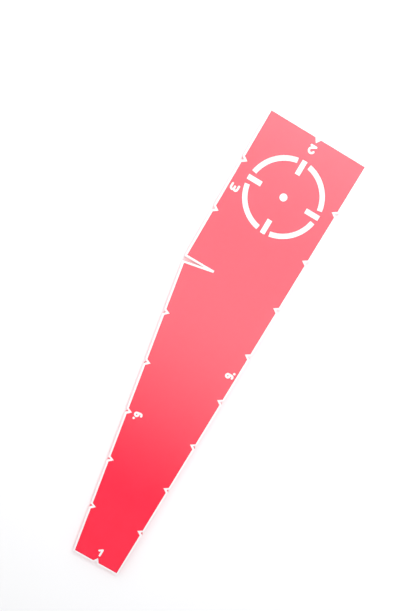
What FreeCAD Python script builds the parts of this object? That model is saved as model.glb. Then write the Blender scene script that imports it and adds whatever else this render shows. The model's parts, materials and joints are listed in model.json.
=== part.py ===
"""Tapered range gauge: a red acrylic sheet with graduated edges and white filled marks.

The sheet lies flat, face up. Millimetres, +Z up, +Y towards the wide end. The origin is
the middle of the sheet's bounding box, on the underside. Every edge measures a stated
length: the wide end, the narrow end, the long edge, the short edge, and the sloping edge
between the narrow end and the slit. V notches divide the edges, and each notch points at
a whole graduation.
"""
import FreeCAD, Part
import math
import os

# ---- Driving dimensions -------------------------------------------------------------
# Outline of the sheet
long_edge = 228.6
wide_end = 50.8
narrow_end = 25.4
short_edge = 76.2
thickness = 3.0
edge_break = 0.15

# Graduations cut into the edges
graduation = 25.4
notch_width = 1.9
notch_depth = 1.4
slit_mouth = 2.1
slit_length = 10.7

# White fills, laid in pockets engraved in the face
pocket_depth = 0.30
fill_sink = 0.05
edge_line_width = 1.0
slit_flash_overrun = 4.7

# Numerals, drawn with one round-ended stroke
cap_height = 4.2
numeral_width = 3.4
round_numeral_width = 2.7
flag_run = 1.4
flag_drop = 1.0
numeral_stroke = 1.0
full_stop_diameter = 1.2
full_stop_gap = 0.25
base_over_notch = 4.25
base_beside_edge = 2.0

# Reticle near the wide end, as large as the numerals beside it allow
reticle_side_clearance = 0.55
reticle_end_clearance = 3.7
reticle_stroke = 2.4
reticle_gap = 1.8
tick_length = 7.0
dot_diameter = 3.6

# ---- Places that follow from them ---------------------------------------------------
pocket_floor_z = thickness - pocket_depth
fill_thickness = pocket_depth - fill_sink
notch_margin = notch_width / 2 + 2 * edge_line_width
side_numeral_reach = base_beside_edge + cap_height
end_numeral_reach = base_over_notch + cap_height
reticle_diameter = wide_end - 2 * (side_numeral_reach + reticle_side_clearance)
reticle_from_wide_end = end_numeral_reach + reticle_end_clearance + reticle_diameter / 2

up = FreeCAD.Vector(0, 0, 1)
left_x = -wide_end / 2
right_x = wide_end / 2
top_y = long_edge / 2
bottom_y = -long_edge / 2

wide_left = FreeCAD.Vector(left_x, top_y, 0)
wide_right = FreeCAD.Vector(right_x, top_y, 0)
shoulder = FreeCAD.Vector(left_x, top_y - short_edge, 0)
narrow_left = FreeCAD.Vector(right_x - narrow_end, bottom_y, 0)
narrow_right = FreeCAD.Vector(right_x, bottom_y, 0)


# ---- Outline ------------------------------------------------------------------------
def direction(start, end):
    """Unit vector from start to end."""
    return (end - start).normalize()


def inward(along):
    """Normal that points into the sheet from an edge walked counter-clockwise."""
    return up.cross(along)


def slit_lip():
    """Lower lip of the slit: the end of the length that the sloping edge measures."""
    return shoulder + direction(shoulder, narrow_left) * slit_mouth


def slit_tip():
    """Closed end of the slit, square to the short edge."""
    return shoulder + FreeCAD.Vector(slit_length, 0, 0)


def whole_graduations(length):
    """Distances of the whole graduations that leave room for a notch on both sides."""
    count = int((length - notch_margin) / graduation)
    return [graduation * number for number in range(1, count + 1)]


def notch(place, along):
    """Three points of one V notch, in the order in which the edge is walked."""
    half = along * (notch_width / 2)
    return [place - half, place + inward(along) * notch_depth, place + half]


def notched_edge(start, end, distances):
    """Points of one edge: its start, then a V notch at each distance from the start."""
    along = direction(start, end)
    points = [start]
    for distance in sorted(distances):
        points += notch(start + along * distance, along)
    return points


def from_far_end(start, end, distances):
    """The same distances, counted back from the end of the edge."""
    length = start.distanceToPoint(end)
    return [length - distance for distance in distances]


def edges():
    """The five measuring edges, counter-clockwise from the wide end's left corner."""
    lip = slit_lip()
    slope = lip.distanceToPoint(narrow_left)
    return [
        (wide_left, shoulder, whole_graduations(short_edge)),
        (lip, narrow_left, from_far_end(lip, narrow_left, whole_graduations(slope))),
        (narrow_left, narrow_right, [narrow_end / 2]),
        (narrow_right, wide_right,
         from_far_end(narrow_right, wide_right, whole_graduations(long_edge))),
        (wide_right, wide_left, [wide_end / 2]),
    ]


def outline():
    """Corners of the whole cut outline, with its notches and its slit."""
    points = []
    for number, (start, end, distances) in enumerate(edges()):
        points += notched_edge(start, end, distances)
        if number == 0:
            points += [shoulder, slit_tip()]
    return points


def inset(points, distance):
    """The outline moved inwards, with mitred corners, and cut short past the slit."""
    moved = []
    for number, corner in enumerate(points):
        before = direction(points[number - 1], corner)
        after = direction(corner, points[(number + 1) % len(points)])
        into = inward(before) + inward(after)
        if corner.distanceToPoint(slit_tip()) < 0.001 and distance >= edge_line_width:
            moved.append(corner + inward(before) * distance + before * slit_flash_overrun)
            moved.append(corner + inward(after) * distance - after * slit_flash_overrun)
        else:
            moved.append(corner + into * (distance / (1 + inward(before).dot(inward(after)))))
    return moved


def flat(points):
    """A flat face on the closed polygon through the points."""
    return Part.Face(Part.makePolygon(points + [points[0]]))


def slab(shape, bottom_z, height):
    """Flat faces raised from bottom_z and joined where they overlap."""
    solids = [face.translated(up * bottom_z).extrude(up * height) for face in shape.Faces]
    if len(solids) == 1:
        return solids[0]
    return solids[0].fuse(solids[1:]).removeSplitter()


# ---- Strokes of the marks -----------------------------------------------------------
def vector(x, y):
    return FreeCAD.Vector(x, y, 0)


def line(x1, y1, x2, y2):
    return Part.LineSegment(vector(x1, y1), vector(x2, y2)).toShape()


def arc(x, y, radius, start, middle, end):
    """Arc through three angles, in degrees, about a centre."""
    places = []
    for angle in (start, middle, end):
        turn = math.radians(angle)
        places.append(vector(x + radius * math.cos(turn), y + radius * math.sin(turn)))
    return Part.Arc(*places).toShape()


def disc(x, y, diameter):
    circle = Part.makeCircle(diameter / 2, vector(x, y))
    return Part.Face(Part.Wire(circle))


def thick_line(edge, width):
    """A straight or curved centreline given its width, with round ends."""
    ends = [disc(v.X, v.Y, width) for v in edge.Vertexes]
    return Part.Compound([band(edge, width)] + ends)


def band(edge, width):
    """A straight or curved centreline given its width, with square ends."""
    half = width / 2
    if isinstance(edge.Curve, Part.Circle):
        centre = edge.Curve.Center
        inner = edge.scaled(1 - half / edge.Curve.Radius, centre)
        outer = edge.scaled(1 + half / edge.Curve.Radius, centre)
    else:
        side = up.cross(direction(edge.firstVertex().Point, edge.lastVertex().Point)) * half
        inner = edge.translated(side)
        outer = edge.translated(-side)
    start_cap = Part.makeLine(inner.firstVertex().Point, outer.firstVertex().Point)
    end_cap = Part.makeLine(inner.lastVertex().Point, outer.lastVertex().Point)
    return Part.Face(Part.Wire([inner, end_cap, outer, start_cap]))


def drawn(edges_of_path):
    """A numeral's centreline drawn with the stroke."""
    return Part.Compound([thick_line(edge, numeral_stroke) for edge in edges_of_path])


# ---- Numerals: base line at y = 0, centred on x = 0 ----------------------------------
low = numeral_stroke / 2
high = cap_height - numeral_stroke / 2
reach = (numeral_width - numeral_stroke) / 2


def one():
    return drawn([line(0, low, 0, high), line(0, high, -flag_run, high - flag_drop)])


def two():
    leave = -45
    turn = math.radians(leave)
    bowl_y = high - reach
    return drawn([
        arc(0, bowl_y, reach, 165, 60, leave),
        line(reach * math.cos(turn), bowl_y + reach * math.sin(turn), -reach, low),
        line(-reach, low, reach, low),
    ])


def three():
    bowl = (high - low) / 4
    middle = cap_height / 2
    side = reach - bowl
    return drawn([
        line(-reach, high, side, high),
        arc(side, middle + bowl, bowl, 90, 0, -90),
        line(side, middle, -reach / 3, middle),
        arc(side, middle - bowl, bowl, 90, 0, -90),
        line(side, low, -reach, low),
    ])


def six():
    bowl = (round_numeral_width - numeral_stroke) / 2
    return drawn([
        arc(0, low + bowl, bowl, 0, 90, 180),
        arc(0, low + bowl, bowl, 180, 270, 360),
        line(-bowl, low + bowl, -bowl, high - bowl),
        arc(0, high - bowl, bowl, 180, 125, 70),
    ])


def nine():
    turned = six()
    turned.rotate(vector(0, cap_height / 2), up, 180)
    return turned


def full_stop():
    """Dot on the base line, to the right of a numeral that could be read upside down."""
    beside = (round_numeral_width + full_stop_diameter) / 2 + full_stop_gap
    return disc(beside, full_stop_diameter / 2, full_stop_diameter)


def beside_edge(marks, start, end, base):
    """Marks stood on the middle of an edge, their base line at a distance from it."""
    along = direction(start, end)
    into = inward(along)
    angle = math.degrees(math.atan2(-into.x, into.y))
    placed = Part.Compound(marks)
    placed.rotate(FreeCAD.Vector(), up, angle)
    placed.translate((start + end) * 0.5 + into * base)
    return placed


def numerals():
    """Each numeral, by its node's name, on the edge whose length it states."""
    short, slope, narrow, long, wide = [(start, end) for start, end, _ in edges()]
    return {
        "numeral_1": beside_edge([one()], *narrow, base_over_notch),
        "numeral_2": beside_edge([two()], *wide, base_over_notch),
        "numeral_3": beside_edge([three()], *short, base_beside_edge),
        "numeral_6": beside_edge([six(), full_stop()], *slope, base_over_notch),
        "numeral_9": beside_edge([nine(), full_stop()], *long, base_beside_edge),
    }


# ---- Reticle ------------------------------------------------------------------------
def reticle():
    """Four arcs, four ticks in the gaps between them, and a dot in the middle."""
    radius = (reticle_diameter - reticle_stroke) / 2
    outside = reticle_diameter / 2
    half_gap = math.degrees((reticle_stroke / 2 + reticle_gap) / radius)
    arcs = []
    ticks = []
    for quarter in (0, 90, 180, 270):
        path = arc(0, 0, radius, quarter + half_gap, quarter + 45, quarter + 90 - half_gap)
        arcs.append(band(path, reticle_stroke))
        tick = band(line(outside - tick_length, 0, outside, 0), reticle_stroke)
        tick.rotate(FreeCAD.Vector(), up, quarter)
        ticks.append(tick)
    marks = {
        "reticle_arcs": Part.Compound(arcs),
        "reticle_ticks": Part.Compound(ticks),
        "reticle_dot": Part.Compound([disc(0, 0, dot_diameter)]),
    }
    for mark in marks.values():
        mark.translate(vector(0, top_y - reticle_from_wide_end))
    return marks


# ---- Solids -------------------------------------------------------------------------
def broken_edges(solid, z):
    """A small flat broken along the outer edges that lie at one height."""
    edges_at_z = [
        edge for edge in solid.Edges
        if all(abs(v.Z - z) < 0.001 for v in edge.Vertexes) and on_outline(edge)
    ]
    return solid.makeChamfer(edge_break, edges_at_z)


def on_outline(edge):
    """True for an edge that lies along the cut outline."""
    middle = edge.valueAt((edge.FirstParameter + edge.LastParameter) / 2)
    rim = Part.makePolygon(outline() + [outline()[0]])
    rim.translate(up * middle.z)
    return rim.distToShape(Part.Vertex(middle))[0] < 0.001


def face_without_edge_line():
    """The red part of the face, inside the white line that follows the outline."""
    return flat(inset(outline(), edge_line_width))


def edge_line():
    """White line round the outline, which widens at each notch and at the slit."""
    line_face = flat(outline()).cut(face_without_edge_line())
    return broken_edges(slab(line_face, pocket_floor_z, fill_thickness).Solids[0],
                        pocket_floor_z + fill_thickness)


def sheet(marks):
    """The acrylic sheet, with the edge step and a pocket for each mark engraved in it."""
    body = slab(flat(outline()), 0, pocket_floor_z)
    body = broken_edges(body, 0)
    raised = slab(face_without_edge_line(), pocket_floor_z, pocket_depth)
    pockets = [slab(mark, pocket_floor_z, pocket_depth) for mark in marks.values()]
    return body.fuse(raised).removeSplitter().cut(pockets)


def build():
    """Every node of the gauge, by name."""
    marks = numerals()
    marks.update(reticle())
    nodes = {"gauge_sheet": sheet(marks), "edge_line": edge_line()}
    for name, mark in marks.items():
        nodes[name] = slab(mark, pocket_floor_z, fill_thickness)
    return nodes


os.makedirs("parts", exist_ok=True)
for name, shape in build().items():
    shape.exportStep("parts/" + name + ".step")
    print(name, len(shape.Solids), "solids", round(shape.Volume, 3), "mm3",
          "valid" if shape.isValid() else "INVALID")
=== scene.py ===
"""Tapered measuring gauge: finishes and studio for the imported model.

Everything is in metres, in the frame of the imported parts: +Z up, +Y towards the wide end.
"""
import json
import math

import bmesh
import bpy
from bpy.props import FloatProperty, FloatVectorProperty, IntProperty, PointerProperty
from mathutils import Matrix, Vector


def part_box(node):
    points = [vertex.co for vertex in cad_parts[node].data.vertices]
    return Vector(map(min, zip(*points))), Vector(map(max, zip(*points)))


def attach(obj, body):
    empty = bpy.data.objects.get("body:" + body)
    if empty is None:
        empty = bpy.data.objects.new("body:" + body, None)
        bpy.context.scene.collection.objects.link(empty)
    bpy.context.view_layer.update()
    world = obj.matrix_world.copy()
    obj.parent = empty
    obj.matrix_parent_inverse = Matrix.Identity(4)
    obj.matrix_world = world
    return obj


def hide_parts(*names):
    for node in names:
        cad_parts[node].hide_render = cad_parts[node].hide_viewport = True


bl_info = {
    "name": "Tapered measuring gauge",
    "version": (1, 0, 0),
    "blender": (4, 5, 0),
    "location": "3D View > Sidebar > Gauge",
    "description": "Builds the finishes, cut edges, white fills and studio of a measuring gauge",
    "category": "Object",
}

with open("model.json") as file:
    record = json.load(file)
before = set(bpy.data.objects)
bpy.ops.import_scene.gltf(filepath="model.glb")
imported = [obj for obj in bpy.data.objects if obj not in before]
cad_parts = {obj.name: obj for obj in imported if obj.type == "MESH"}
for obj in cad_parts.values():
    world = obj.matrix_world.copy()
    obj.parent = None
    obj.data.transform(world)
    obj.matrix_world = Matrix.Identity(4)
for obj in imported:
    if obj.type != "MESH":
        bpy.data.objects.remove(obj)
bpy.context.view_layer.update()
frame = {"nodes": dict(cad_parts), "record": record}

MM = 0.001
SAME_PLACE = 0.001 * MM  # points and heights nearer than this are one
ACRYLIC_IOR = 1.49
ENAMEL_IOR = 1.5
SHEET = "gauge_sheet"
BODY = "root"
WHITE_NODES = [
    row["node"] for row in frame["record"]["subparts"] if row["material_slot"] == "white_fill"
]
UNDERSIDE_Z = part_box(SHEET)[0][2]
POCKET_FLOOR_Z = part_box("edge_line")[0][2]


# ---- Settings -------------------------------------------------------------------------
class GaugeSheetSettings(bpy.types.PropertyGroup):
    """The red acrylic sheet and its laser-cut edge."""

    colour: FloatVectorProperty(
        name="Colour", description="Body colour of the red acrylic",
        subtype="COLOR", size=4, min=0, max=1, default=(0.80, 0.033, 0.070, 1),
    )
    frost_colour: FloatVectorProperty(
        name="Frost colour", description="Colour of the milky frost that the laser leaves",
        subtype="COLOR", size=4, min=0, max=1, default=(0.97, 0.72, 0.75, 1),
    )
    frost: FloatProperty(
        name="Frost", description="How much frost the laser leaves on the cut walls",
        subtype="FACTOR", min=0, max=1, default=0.20,
    )
    frost_roughness: FloatProperty(
        name="Frost roughness", description="Roughness that the laser adds to the cut walls",
        subtype="FACTOR", min=0, max=1, default=0.2,
    )
    polish: FloatProperty(
        name="Polish", description="Roughness of the clean polished face",
        subtype="FACTOR", min=0, max=1, default=0.05,
    )
    haze: FloatProperty(
        name="Handling haze", description="Roughness added where the face has been handled",
        subtype="FACTOR", min=0, max=1, default=0.06,
    )
    wave_height: FloatProperty(
        name="Wave height", description="How far the cast sheet is from flat",
        unit="LENGTH", subtype="DISTANCE", min=0, default=0.02 * MM,
    )
    glow: FloatProperty(
        name="Glow", description="How much of the light comes back from inside the acrylic",
        subtype="FACTOR", min=0, max=1, default=0.6,
    )
    glow_depth: FloatProperty(
        name="Glow depth", description="How far light travels inside the acrylic",
        unit="LENGTH", subtype="DISTANCE", min=0, default=3.0 * MM,
    )
    glow_reach: FloatVectorProperty(
        name="Glow reach", description="Share of the glow depth that red, green and blue reach",
        size=3, min=0, max=1, default=(1.0, 0.22, 0.28),
    )
    shadow_tint: FloatVectorProperty(
        name="Shadow tint", description="Light that each face of the acrylic lets through",
        subtype="COLOR", size=4, min=0, max=1, default=(0.78, 0.34, 0.38, 1),
    )
    ridge_pitch: FloatProperty(
        name="Ridge pitch", description="Spacing of the fine ridges that the laser leaves",
        unit="LENGTH", subtype="DISTANCE", min=0.1 * MM, default=0.32 * MM,
    )
    ridge_radius: FloatProperty(
        name="Ridge radius", description="How far a ridge stands out of the cut edge",
        unit="LENGTH", subtype="DISTANCE", min=0.001 * MM, default=0.026 * MM,
    )
    ridge_stray: FloatProperty(
        name="Ridge stray", description="Share of the pitch that a ridge may stray either way",
        subtype="FACTOR", min=0, max=0.5, default=0.35,
    )
    ridge_unevenness: FloatProperty(
        name="Ridge unevenness", description="Share of its radius that a ridge may lack",
        subtype="FACTOR", min=0, max=1, default=0.6,
    )
    seed: IntProperty(
        name="Seed", description="Seed of the ridges' unevenness", min=0, default=7,
    )


class GaugeWhiteSettings(bpy.types.PropertyGroup):
    """The white fills in the engraved pockets."""

    colour: FloatVectorProperty(
        name="Colour", description="Colour of the white enamel",
        subtype="COLOR", size=4, min=0, max=1, default=(0.75, 0.72, 0.73, 1),
    )
    satin: FloatProperty(
        name="Satin", description="Roughness of the dried enamel",
        subtype="FACTOR", min=0, max=1, default=0.42,
    )
    shadow_tint: FloatVectorProperty(
        name="Shadow tint", description="Light that each face of the enamel lets through",
        subtype="COLOR", size=4, min=0, max=1, default=(0.72, 0.68, 0.69, 1),
    )
    rim_width: FloatProperty(
        name="Rim width", description="Width over which the enamel climbs its pocket's wall",
        unit="LENGTH", subtype="DISTANCE", min=0.01 * MM, max=0.2 * MM, default=0.09 * MM,
    )
    rim_rise: FloatProperty(
        name="Rim rise", description="How far the enamel climbs its pocket's wall",
        unit="LENGTH", subtype="DISTANCE", min=0, default=0.03 * MM,
    )
    dish_depth: FloatProperty(
        name="Dish depth", description="How far the enamel sinks between its rims",
        unit="LENGTH", subtype="DISTANCE", min=0, default=0.03 * MM,
    )


class GaugeStudioSettings(bpy.types.PropertyGroup):
    """Floor, lights and camera."""

    floor_colour: FloatVectorProperty(
        name="Floor colour", description="Colour of the plain floor",
        subtype="COLOR", size=4, min=0, max=1, default=(0.77, 0.77, 0.78, 1),
    )
    floor_width: FloatProperty(
        name="Floor width", description="Width of the square floor",
        unit="LENGTH", subtype="DISTANCE", min=0.5, default=8.0,
    )
    softbox_size: FloatVectorProperty(
        name="Softbox size", description="Width and length of the softbox overhead",
        subtype="TRANSLATION", unit="LENGTH", size=2, default=(0.30, 0.95),
    )
    softbox_centre: FloatVectorProperty(
        name="Softbox centre", description="Middle of the softbox overhead",
        subtype="TRANSLATION", unit="LENGTH", size=3, default=(0.03, 0.125, 0.511),
    )
    softbox_glow: FloatProperty(
        name="Softbox glow", description="Brightness of the softbox's middle",
        min=0, default=4.0,
    )
    softbox_fade: FloatProperty(
        name="Softbox fade", description="Length over which the softbox's dark end fades",
        unit="LENGTH", subtype="DISTANCE", min=0.01, default=0.33,
    )
    softbox_even: FloatProperty(
        name="Softbox even part", description="Length of the softbox's evenly lit middle",
        unit="LENGTH", subtype="DISTANCE", min=0, default=0.08,
    )
    softbox_rise: FloatProperty(
        name="Softbox rise", description="How many times brighter the far end is",
        min=1, default=2.6,
    )
    key_strength: FloatProperty(
        name="Key strength", description="Strength of the broad key light over the whole floor",
        min=0, default=1.75,
    )
    key_spread: FloatProperty(
        name="Key spread", description="Apparent width of the key light, which softens shadows",
        subtype="ANGLE", unit="ROTATION", min=0, max=math.pi, default=math.radians(95),
    )
    key_lean: FloatProperty(
        name="Key lean", description="Lean of the key light from overhead to the wide end",
        subtype="ANGLE", unit="ROTATION", default=math.radians(32),
    )
    key_side: FloatProperty(
        name="Key side", description="Lean of the key light from overhead to the short edge",
        subtype="ANGLE", unit="ROTATION", default=math.radians(28),
    )
    room_glow: FloatProperty(
        name="Room glow", description="Brightness of the pale room's walls",
        min=0, default=0.72,
    )
    horizon_glow: FloatProperty(
        name="Horizon glow", description="Brightness of the room where it meets the floor",
        min=0, default=0.53,
    )
    ceiling_glow: FloatProperty(
        name="Ceiling glow", description="Brightness of the dim room overhead",
        min=0, default=0.1,
    )
    camera_place: FloatVectorProperty(
        name="Camera place", description="Where the camera stands",
        subtype="TRANSLATION", unit="LENGTH", size=3, default=(-0.01507, 0.05016, 0.25115),
    )
    camera_aim: FloatVectorProperty(
        name="Camera aim", description="Point of the face that the camera looks at",
        subtype="TRANSLATION", unit="LENGTH", size=3, default=(-0.00434, 0.02382, 0.003),
    )
    camera_turn: FloatProperty(
        name="Camera turn", description="Turn of the camera's top away from the wide end",
        subtype="ANGLE", unit="ROTATION", default=math.radians(30.56),
    )
    camera_lens: FloatProperty(
        name="Camera lens", description="Focal length in millimetres, on a 36 mm sensor",
        min=1, default=31.79,
    )


# ---- Node tools -----------------------------------------------------------------------
NODE_SPACING = 200  # in the node editor's units
# Positions of sockets whose names stand more than once on their node
MIX_FIRST, MIX_SECOND, MIX_RESULT = 6, 7, 2
SHADER_FIRST, SHADER_SECOND = 1, 2
RANDOM_LOW, RANDOM_HIGH, RANDOM_RESULT = 2, 3, 1


class Tree:
    """Adds nodes to a tree from left to right and links them."""

    def __init__(self, node_tree):
        self.tree = node_tree
        self.column = 0

    def add(self, kind, settings=None, **inputs):
        """A node of a kind, its own settings, and its inputs by name as values or links."""
        node = self.tree.nodes.new(kind)
        node.location = (self.column, 0)
        self.column += NODE_SPACING
        for name, value in (settings or {}).items():
            setattr(node, name, value)
        for name, value in inputs.items():
            self.put(node.inputs[name.replace("_", " ")], value)
        return node

    def put(self, socket, value):
        """Link an output to a socket, or set the socket's own value."""
        if isinstance(value, bpy.types.NodeSocket):
            self.tree.links.new(value, socket)
        else:
            socket.default_value = value

    def math(self, operation, first, second=0.0):
        """Result of an operation on two numbers."""
        node = self.add("ShaderNodeMath", {"operation": operation})
        self.put(node.inputs[0], first)
        self.put(node.inputs[1], second)
        return node.outputs[0]

    def ramp(self, value, low, high, to_low=0.0, to_high=1.0):
        """Value carried smoothly from one range to another."""
        node = self.add("ShaderNodeMapRange", {"interpolation_type": "SMOOTHSTEP"}, Value=value)
        for name, number in (("From Min", low), ("From Max", high),
                             ("To Min", to_low), ("To Max", to_high)):
            self.put(node.inputs[name], number)
        return node.outputs["Result"]

    def blend(self, factor, first, second):
        """Colour mixed from first to second."""
        node = self.add("ShaderNodeMix", {"data_type": "RGBA"})
        self.put(node.inputs["Factor"], factor)
        self.put(node.inputs[MIX_FIRST], first)
        self.put(node.inputs[MIX_SECOND], second)
        return node.outputs[MIX_RESULT]

    def random(self, low, high, seed):
        """A random number for each point, between low and high."""
        node = self.add("FunctionNodeRandomValue", {"data_type": "FLOAT"}, Seed=seed)
        self.put(node.inputs[RANDOM_LOW], low)
        self.put(node.inputs[RANDOM_HIGH], high)
        return node.outputs[RANDOM_RESULT]


def new_group(name, inputs, outputs):
    """A shader group with named sockets, and its input and output nodes."""
    tree = bpy.data.node_groups.new(name, "ShaderNodeTree")
    for label, socket_type, default in inputs:
        socket = tree.interface.new_socket(label, in_out="INPUT", socket_type=socket_type)
        if default is not None:
            socket.default_value = default
    for label, socket_type in outputs:
        tree.interface.new_socket(label, in_out="OUTPUT", socket_type=socket_type)
    build = Tree(tree)
    return build, build.add("NodeGroupInput"), build.add("NodeGroupOutput")


# ---- Shader effects that more than one finish uses ------------------------------------
def make_handling_haze(name):
    """Roughness that rises in soft smudges where a surface has been handled."""
    build, given, result = new_group(
        name,
        [("Vector", "NodeSocketVector", None), ("Clean", "NodeSocketFloat", 0.05),
         ("Added", "NodeSocketFloat", 0.05), ("Patches per Metre", "NodeSocketFloat", 30.0)],
        [("Roughness", "NodeSocketFloat")],
    )
    cloud = build.add(
        "ShaderNodeTexNoise", Vector=given.outputs["Vector"],
        Scale=given.outputs["Patches per Metre"], Detail=4.0, Roughness=0.55, Distortion=0.6,
    )
    clean_below, smudged_above = 0.42, 0.72
    patches = build.ramp(cloud.outputs["Fac"], clean_below, smudged_above)
    added = build.math("MULTIPLY", patches, given.outputs["Added"])
    build.put(result.inputs["Roughness"], build.math("ADD", added, given.outputs["Clean"]))
    return build.tree


def make_tone_drift(name):
    """A colour that drifts a little lighter and darker over the surface."""
    build, given, result = new_group(
        name,
        [("Vector", "NodeSocketVector", None), ("Colour", "NodeSocketColor", None),
         ("Amount", "NodeSocketFloat", 0.05), ("Patches per Metre", "NodeSocketFloat", 20.0)],
        [("Colour", "NodeSocketColor")],
    )
    cloud = build.add(
        "ShaderNodeTexNoise", Vector=given.outputs["Vector"],
        Scale=given.outputs["Patches per Metre"], Detail=3.0, Roughness=0.5,
    )
    cloud_middle = 0.5
    centred = build.math("SUBTRACT", cloud.outputs["Fac"], cloud_middle)
    swing = build.math("MULTIPLY", centred, given.outputs["Amount"])
    shifted = build.add("ShaderNodeHueSaturation", Color=given.outputs["Colour"])
    build.put(shifted.inputs["Value"], build.math("ADD", swing, 1.0))
    build.put(result.inputs["Colour"], shifted.outputs["Color"])
    return build.tree


def make_fine_lines(name):
    """Height of fine parallel marks: a noise drawn out along one axis of its vector."""
    build, given, result = new_group(
        name,
        [("Vector", "NodeSocketVector", None), ("Lines per Metre", "NodeSocketVector", None),
         ("Height", "NodeSocketFloat", 0.00001)],
        [("Height", "NodeSocketFloat")],
    )
    drawn = build.add("ShaderNodeVectorMath", {"operation": "MULTIPLY"})
    build.put(drawn.inputs[0], given.outputs["Vector"])
    build.put(drawn.inputs[1], given.outputs["Lines per Metre"])
    lines = build.add(
        "ShaderNodeTexNoise", Vector=drawn.outputs[0], Scale=1.0, Detail=2.0, Roughness=0.6,
    )
    build.put(
        result.inputs["Height"],
        build.math("MULTIPLY", lines.outputs["Fac"], given.outputs["Height"]),
    )
    return build.tree


def effect(build, name, make, **inputs):
    """A shared effect, built once, placed in a material with the material's own values."""
    tree = bpy.data.node_groups.get(name) or make(name)
    node = build.add("ShaderNodeGroup", {"node_tree": tree})
    for label, value in inputs.items():
        build.put(node.inputs[label.replace("_", " ")], value)
    return node.outputs[0]


def new_material(name):
    """A new material, its tree, its Principled shader and its object coordinates."""
    material = bpy.data.materials.new(name)
    material.use_nodes = True
    material.node_tree.nodes.clear()
    build = Tree(material.node_tree)
    place = build.add("ShaderNodeTexCoord").outputs["Object"]
    shader = build.add("ShaderNodeBsdfPrincipled")
    output = build.add("ShaderNodeOutputMaterial", Surface=shader.outputs[0])
    output.is_active_output = True
    return material, build, shader, place


def tint_shadow(build, shader, tint):
    """Let a tint of the light through a material's shadow, as a translucent body does."""
    clear = build.add("ShaderNodeBsdfTransparent", Color=tint)
    ray = build.add("ShaderNodeLightPath")
    surface = build.add("ShaderNodeMixShader", Fac=ray.outputs["Is Shadow Ray"])
    build.put(surface.inputs[SHADER_FIRST], shader.outputs[0])
    build.put(surface.inputs[SHADER_SECOND], clear.outputs[0])
    build.put(build.tree.nodes["Material Output"].inputs["Surface"], surface.outputs[0])


# ---- Materials ------------------------------------------------------------------------
def side_mask(build):
    """1 on upright cut walls, 0 on the flat faces."""
    normal = build.add("ShaderNodeNewGeometry").outputs["True Normal"]
    upward = build.add("ShaderNodeSeparateXYZ", Vector=normal).outputs["Z"]
    wall_below, face_above = 0.2, 0.6
    return build.ramp(build.math("ABSOLUTE", upward), wall_below, face_above, 1.0, 0.0)


def red_acrylic(settings):
    """Polished red acrylic: glossy face, faint waves, handled haze, laser-cut walls."""
    material, build, shader, place = new_material("red_acrylic")
    walls = side_mask(build)
    colour = effect(
        build, "Tone drift", make_tone_drift, Vector=place, Colour=settings.colour,
        Amount=0.08, Patches_per_Metre=14.0,
    )
    haze = effect(
        build, "Handling haze", make_handling_haze, Vector=place, Clean=settings.polish,
        Added=settings.haze, Patches_per_Metre=32.0,
    )
    rough_walls = build.math("MULTIPLY", walls, settings.frost_roughness)
    waves = build.add("ShaderNodeTexNoise", Vector=place, Scale=28.0, Detail=1.0)
    wave_height = build.math("MULTIPLY", waves.outputs["Fac"], settings.wave_height)
    cut_lines = effect(
        build, "Fine lines", make_fine_lines, Vector=place,
        Lines_per_Metre=(5200.0, 5200.0, 60.0), Height=0.012 * MM,
    )
    cut_height = build.math("MULTIPLY", cut_lines, walls)
    bump = build.add(
        "ShaderNodeBump", Height=build.math("ADD", wave_height, cut_height),
        Strength=1.0, Distance=1.0,
    )
    frost = build.math("MULTIPLY", walls, settings.frost)
    frosted = build.blend(frost, colour, settings.frost_colour)
    build.put(shader.inputs["Base Color"], frosted)
    build.put(shader.inputs["Roughness"], build.math("ADD", haze, rough_walls))
    build.put(shader.inputs["Normal"], bump.outputs["Normal"])
    shader.inputs["IOR"].default_value = ACRYLIC_IOR
    shader.inputs["Subsurface Weight"].default_value = settings.glow
    shader.inputs["Subsurface Radius"].default_value = settings.glow_reach
    shader.inputs["Subsurface Scale"].default_value = settings.glow_depth
    tint_shadow(build, shader, settings.shadow_tint)
    return material


def white_enamel(settings):
    """Dried white enamel: satin, faintly uneven, with the engraver's fine lines under it."""
    material, build, shader, place = new_material("white_enamel")
    colour = effect(
        build, "Tone drift", make_tone_drift, Vector=place, Colour=settings.colour,
        Amount=0.06, Patches_per_Metre=260.0,
    )
    haze = effect(
        build, "Handling haze", make_handling_haze, Vector=place, Clean=settings.satin,
        Added=0.12, Patches_per_Metre=180.0,
    )
    passes = effect(
        build, "Fine lines", make_fine_lines, Vector=place,
        Lines_per_Metre=(900.0, 9000.0, 900.0), Height=0.006 * MM,
    )
    bump = build.add("ShaderNodeBump", Height=passes, Strength=1.0, Distance=1.0)
    build.put(shader.inputs["Base Color"], colour)
    build.put(shader.inputs["Roughness"], haze)
    build.put(shader.inputs["Normal"], bump.outputs["Normal"])
    shader.inputs["IOR"].default_value = ENAMEL_IOR
    tint_shadow(build, shader, settings.shadow_tint)
    return material


def floor_paper(settings):
    """Plain pale paper for the floor."""
    material, build, shader, place = new_material("floor_paper")
    colour = effect(
        build, "Tone drift", make_tone_drift, Vector=place, Colour=settings.floor_colour,
        Amount=0.015, Patches_per_Metre=3.0,
    )
    build.put(shader.inputs["Base Color"], colour)
    shader.inputs["Roughness"].default_value = 0.75
    shader.inputs["Specular IOR Level"].default_value = 0.2
    return material


# ---- Meshes ---------------------------------------------------------------------------
def merged_copy(node):
    """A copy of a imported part's mesh with its loose triangles joined."""
    mesh = bmesh.new()
    mesh.from_mesh(frame["nodes"][node].data)
    bmesh.ops.remove_doubles(mesh, verts=mesh.verts, dist=SAME_PLACE)
    return mesh


def new_object(name, mesh, material):
    """A scene object from a bmesh, at the origin."""
    data = bpy.data.meshes.new(name)
    mesh.to_mesh(data)
    mesh.free()
    data.materials.append(material)
    made = bpy.data.objects.new(name, data)
    bpy.context.scene.collection.objects.link(made)
    return made


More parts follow.
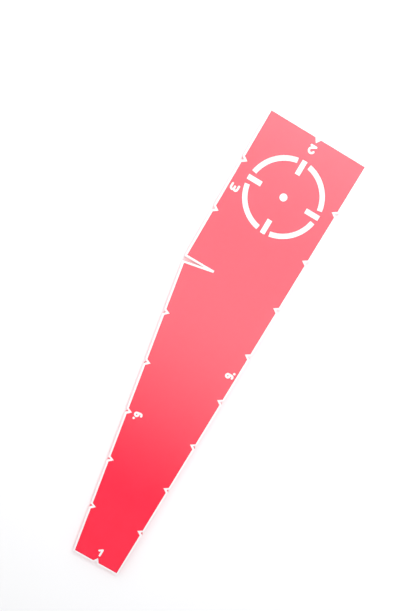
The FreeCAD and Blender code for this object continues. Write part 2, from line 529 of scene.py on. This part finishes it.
def finish_piece(piece):
    """The piece rides on the gauge."""
    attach(piece, BODY)


def dished_fill(node, settings):
    """A white fill whose top climbs its pocket's walls and sinks between them."""
    level_above, sloping_above, upright_below = 0.99, 0.3, 0.1  # Z of a face's normal
    mesh = merged_copy(node)
    top_z = max(vertex.co.z for vertex in mesh.verts)
    top = [
        face for face in mesh.faces
        if face.normal.z > level_above
        and abs(face.calc_center_median().z - top_z) < SAME_PLACE
    ]
    rim = {
        vertex for face in top for vertex in face.verts
        if any(abs(neighbour.normal.z) < upright_below for neighbour in vertex.link_faces)
    }
    for width, drop in ((settings.rim_width, 0.0), (settings.rim_width, settings.dish_depth)):
        bmesh.ops.inset_region(
            mesh, faces=top, thickness=width, use_even_offset=True, use_boundary=True,
        )
        for vertex in {vertex for face in top for vertex in face.verts}:
            vertex.co.z = top_z - drop
    for vertex in rim:
        vertex.co.z = top_z + settings.rim_rise
    for face in mesh.faces:
        face.smooth = face.normal.z > sloping_above
    return mesh


def cut_outline(height):
    """The sheet's outline as a closed wire at one height, and where its walls begin.

    The walls begin at the lowest points above the underside, past its broken edge.
    """
    least_break, least_bend = 0.01 * MM, 0.1
    mesh = merged_copy(SHEET)
    wall_foot = min(
        vertex.co.z for vertex in mesh.verts if vertex.co.z > UNDERSIDE_Z + least_break
    )
    wire = bmesh.new()
    made = {}
    for edge in mesh.edges:
        if any(abs(vertex.co.z - wall_foot) >= SAME_PLACE for vertex in edge.verts):
            continue
        if len(edge.link_faces) == 2 and edge.calc_face_angle() > least_bend:
            for vertex in edge.verts:
                if vertex.index not in made:
                    made[vertex.index] = wire.verts.new((vertex.co.x, vertex.co.y, height))
            wire.edges.new([made[vertex.index] for vertex in edge.verts])
    mesh.free()
    return wire, wall_foot


def make_ridge_tree(name):
    """Geometry Nodes: thin upright ridges at an even pitch along a wire."""
    tree = bpy.data.node_groups.new(name, "GeometryNodeTree")
    tree.is_modifier = True
    for label, socket_type in (
        ("Geometry", "NodeSocketGeometry"), ("Pitch", "NodeSocketFloat"),
        ("Ridge Radius", "NodeSocketFloat"), ("Ridge Height", "NodeSocketFloat"),
        ("Stray", "NodeSocketFloat"), ("Unevenness", "NodeSocketFloat"),
        ("Seed", "NodeSocketInt"), ("Material", "NodeSocketMaterial"),
    ):
        tree.interface.new_socket(label, in_out="INPUT", socket_type=socket_type)
    tree.interface.new_socket("Geometry", in_out="OUTPUT", socket_type="NodeSocketGeometry")
    build = Tree(tree)
    given = build.add("NodeGroupInput").outputs
    path = build.add("GeometryNodeMeshToCurve", Mesh=given["Geometry"])
    places = build.add(
        "GeometryNodeResampleCurve", {"mode": "LENGTH"}, Curve=path.outputs["Curve"],
        Length=given["Pitch"],
    )
    along = build.add("GeometryNodeInputTangent").outputs["Tangent"]
    reach = build.math("MULTIPLY", given["Pitch"], given["Stray"])
    stray = build.random(build.math("MULTIPLY", reach, -1.0), reach, given["Seed"])
    shift = build.add("ShaderNodeVectorMath", {"operation": "SCALE"}, Scale=stray)
    build.put(shift.inputs[0], along)
    strayed = build.add(
        "GeometryNodeSetPosition", Geometry=places.outputs["Curve"],
        Offset=shift.outputs["Vector"],
    )
    ridge = build.add(
        "GeometryNodeMeshCylinder", Vertices=6, Radius=given["Ridge Radius"],
        Depth=given["Ridge Height"],
    )
    thinnest = build.math("SUBTRACT", 1.0, given["Unevenness"])
    width = build.random(thinnest, 1.0, given["Seed"])
    scale = build.add("ShaderNodeCombineXYZ", X=width, Y=width, Z=1.0)
    ridges = build.add(
        "GeometryNodeInstanceOnPoints", Points=strayed.outputs["Geometry"],
        Instance=ridge.outputs["Mesh"], Scale=scale.outputs["Vector"],
    )
    real = build.add("GeometryNodeRealizeInstances", Geometry=ridges.outputs["Instances"])
    finish = build.add(
        "GeometryNodeSetMaterial", Geometry=real.outputs["Geometry"],
        Material=given["Material"],
    )
    build.add("NodeGroupOutput", Geometry=finish.outputs["Geometry"])
    return tree


def run_nodes(source, tree, values):
    """The mesh that a Geometry Nodes tree makes from an object, as plain data."""
    modifier = source.modifiers.new(tree.name, "NODES")
    modifier.node_group = tree
    for item in tree.interface.items_tree:
        if item.item_type == "SOCKET" and item.in_out == "INPUT" and item.name in values:
            modifier[item.identifier] = values[item.name]
    evaluated = source.evaluated_get(bpy.context.evaluated_depsgraph_get())
    data = bpy.data.meshes.new_from_object(evaluated)
    source.modifiers.remove(modifier)
    return data


# ---- Operators ------------------------------------------------------------------------
class GAUGE_OT_red_sheet(bpy.types.Operator):
    """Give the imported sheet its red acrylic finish"""

    bl_idname = "gauge.red_sheet"
    bl_label = "Red sheet"

    def execute(self, context):
        sheet = frame["nodes"][SHEET]
        sheet.data.materials.clear()
        sheet.data.materials.append(red_acrylic(context.scene.gauge_sheet))
        return {"FINISHED"}


class GAUGE_OT_cut_edge(bpy.types.Operator):
    """Lay the laser's fine ridges along the cut edge of the sheet"""

    bl_idname = "gauge.cut_edge"
    bl_label = "Cut edge"

    def execute(self, context):
        settings = context.scene.gauge_sheet
        material = bpy.data.materials["red_acrylic"]
        wire, wall_foot = cut_outline((UNDERSIDE_Z + POCKET_FLOOR_Z) / 2)
        piece = new_object("cut_edge_ridges", wire, material)
        # As far above the wire as the walls' foot is below it
        ridge_height = 2 * (piece.data.vertices[0].co.z - wall_foot)
        piece.data = run_nodes(piece, make_ridge_tree("Laser ridges"), {
            "Pitch": settings.ridge_pitch,
            "Ridge Radius": settings.ridge_radius,
            "Ridge Height": ridge_height,
            "Stray": settings.ridge_stray,
            "Unevenness": settings.ridge_unevenness,
            "Seed": settings.seed,
            "Material": material,
        })
        if not piece.data.polygons:
            raise RuntimeError("the cut edge has no ridges")
        finish_piece(piece)
        return {"FINISHED"}


class GAUGE_OT_white_fills(bpy.types.Operator):
    """Replace each packed white mark by a dished enamel fill"""

    bl_idname = "gauge.white_fills"
    bl_label = "White fills"

    def execute(self, context):
        settings = context.scene.gauge_white
        material = white_enamel(settings)
        for node in WHITE_NODES:
            piece = new_object("enamel_" + node, dished_fill(node, settings), material)
            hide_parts(node)
            finish_piece(piece)
        return {"FINISHED"}


class GAUGE_OT_studio(bpy.types.Operator):
    """Set out the floor, the softbox, the key light, the pale room and the camera"""

    bl_idname = "gauge.studio"
    bl_label = "Studio"

    def execute(self, context):
        settings = context.scene.gauge_studio
        view = context.scene.view_settings
        view.view_transform = "Standard"
        view.look = "None"
        make_floor(settings)
        make_softbox(settings)
        make_key_light(context.scene, settings)
        make_room(context.scene, settings)
        make_camera(context.scene, settings)
        return {"FINISHED"}


def make_floor(settings):
    """The plain floor, level with the gauge's underside."""
    mesh = bmesh.new()
    bmesh.ops.create_grid(mesh, x_segments=8, y_segments=8, size=settings.floor_width / 2)
    floor = new_object("floor", mesh, floor_paper(settings))
    for vertex in floor.data.vertices:
        vertex.co.z = UNDERSIDE_Z


def make_softbox(settings):
    """A glowing panel overhead that fades towards the narrow end, unseen by the camera."""
    width, length = settings.softbox_size
    centre = Vector(settings.softbox_centre)
    mesh = bmesh.new()
    bmesh.ops.create_grid(mesh, x_segments=1, y_segments=1, size=0.5)
    for vertex in mesh.verts:
        vertex.co = centre + Vector((vertex.co.x * width, vertex.co.y * length, 0))
    bmesh.ops.reverse_faces(mesh, faces=mesh.faces)
    material = bpy.data.materials.new("softbox_cloth")
    material.use_nodes = True
    material.node_tree.nodes.clear()
    build = Tree(material.node_tree)
    place = build.add("ShaderNodeTexCoord").outputs["Object"]
    along = build.add("ShaderNodeSeparateXYZ", Vector=place).outputs["Y"]
    dark_end = centre.y - length / 2
    even_start = dark_end + settings.softbox_fade
    even_end = even_start + settings.softbox_even
    fade = build.ramp(along, dark_end, even_start)
    rise = build.ramp(along, even_end, dark_end + length, 1.0, settings.softbox_rise)
    glow = build.math("MULTIPLY", fade, rise)
    light = build.add("ShaderNodeEmission")
    build.put(light.inputs["Strength"], build.math("MULTIPLY", glow, settings.softbox_glow))
    build.add("ShaderNodeOutputMaterial", Surface=light.outputs[0])
    softbox = new_object("softbox", mesh, material)
    softbox.visible_camera = False


def make_key_light(scene, settings):
    """A broad, distant light that leaves no reflection on the polished face."""
    data = bpy.data.lights.new("key_light", "SUN")
    data.energy = settings.key_strength
    data.angle = settings.key_spread
    light = bpy.data.objects.new("key_light", data)
    scene.collection.objects.link(light)
    light.rotation_euler = (-settings.key_lean, -settings.key_side, 0)
    light.visible_glossy = False


def make_room(scene, settings):
    """A room with pale walls, a little darker at the horizon and dim overhead."""
    world = bpy.data.worlds.new("pale_room")
    scene.world = world
    world.use_nodes = True
    world.node_tree.nodes.clear()
    build = Tree(world.node_tree)
    heading = build.add("ShaderNodeTexCoord").outputs["Generated"]
    upward = build.add("ShaderNodeSeparateXYZ", Vector=heading).outputs["Z"]
    horizon, wall_low, wall_high, ceiling = 0.0, 0.25, 0.35, 0.8  # Z of a direction
    dimming = settings.room_glow - settings.ceiling_glow
    walls = build.ramp(upward, horizon, wall_low, settings.horizon_glow, settings.room_glow)
    glow = build.math("SUBTRACT", walls, build.ramp(upward, wall_high, ceiling, 0.0, dimming))
    sky = build.add("ShaderNodeBackground", Color=(1.0, 1.0, 1.0, 1.0), Strength=glow)
    build.add("ShaderNodeOutputWorld", Surface=sky.outputs[0])


def make_camera(scene, settings):
    """The camera above the wide half, with its top turned away from the wide end."""
    data = bpy.data.cameras.new("camera")
    data.sensor_width = 36.0
    data.lens = settings.camera_lens
    data.clip_start = 0.01
    camera = bpy.data.objects.new("camera", data)
    scene.collection.objects.link(camera)
    place = Vector(settings.camera_place)
    back = (place - Vector(settings.camera_aim)).normalized()
    top = Vector((-math.sin(settings.camera_turn), math.cos(settings.camera_turn), 0))
    right = top.cross(back).normalized()
    turned = Matrix((right, back.cross(right), back)).transposed().to_4x4()
    camera.matrix_world = Matrix.Translation(place) @ turned
    scene.camera = camera


class GAUGE_PT_panel(bpy.types.Panel):
    """Lists the sizes, colours and steps that build the gauge and its studio"""

    bl_idname = "GAUGE_PT_panel"
    bl_label = "Measuring gauge"
    bl_space_type = "VIEW_3D"
    bl_region_type = "UI"
    bl_category = "Gauge"

    def draw(self, context):
        for holder, group in SETTINGS.items():
            box = self.layout.box()
            for name in group.__annotations__:
                box.prop(getattr(context.scene, holder), name)
        for operator in OPERATORS:
            self.layout.operator(operator.bl_idname)


SETTINGS = {
    "gauge_sheet": GaugeSheetSettings,
    "gauge_white": GaugeWhiteSettings,
    "gauge_studio": GaugeStudioSettings,
}
OPERATORS = (GAUGE_OT_studio, GAUGE_OT_red_sheet, GAUGE_OT_cut_edge, GAUGE_OT_white_fills)
CLASSES = (*SETTINGS.values(), *OPERATORS, GAUGE_PT_panel)


def register():
    for cls in CLASSES:
        bpy.utils.register_class(cls)
    for name, group in SETTINGS.items():
        setattr(bpy.types.Scene, name, PointerProperty(type=group))


def unregister():
    for name in SETTINGS:
        delattr(bpy.types.Scene, name)
    for cls in reversed(CLASSES):
        bpy.utils.unregister_class(cls)


def main():
    """Build the gauge and its studio."""
    register()
    bpy.ops.gauge.studio()
    bpy.ops.gauge.red_sheet()
    bpy.ops.gauge.cut_edge()
    bpy.ops.gauge.white_fills()


if __name__ == "__main__":
    main()
